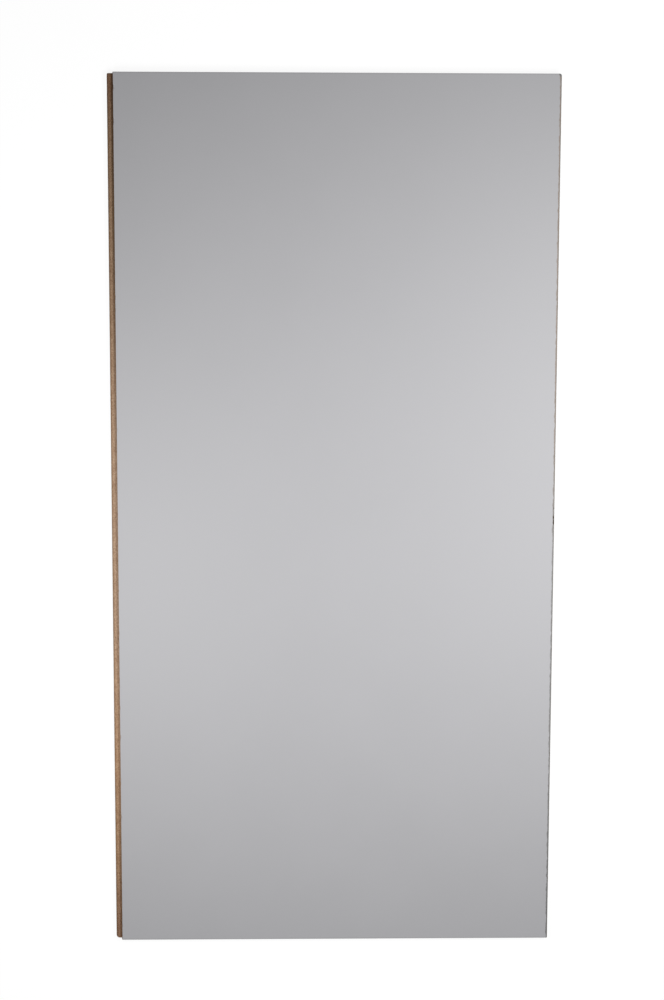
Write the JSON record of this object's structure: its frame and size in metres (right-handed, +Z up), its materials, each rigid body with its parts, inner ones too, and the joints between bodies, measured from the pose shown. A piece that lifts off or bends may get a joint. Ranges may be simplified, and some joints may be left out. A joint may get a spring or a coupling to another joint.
{
  "type": "fibreboard wall panel",
  "caption": "Rectangular tongue-and-groove fibreboard wall panel with a satin grey faced side, raw brown edges, and a tongue down one long edge and a groove down the other.",
  "frame": {"origin": "middle of the panel's whole outline, tongue included, on its underside", "axes": "+Z up out of the faced side as the panel lies flat, +Y along the panel, +X across it from the tongue edge to the groove edge"},
  "size_m": [0.608, 1.2, 0.012],
  "materials": {
    "faced_fibreboard": "satin grey film on the faced side, raw brown wood fibre on the edges, tongue, groove and back"
  },
  "bodies": {
    "root": {"wall_panel": "faced_fibreboard"}
  },
  "joints": []
}
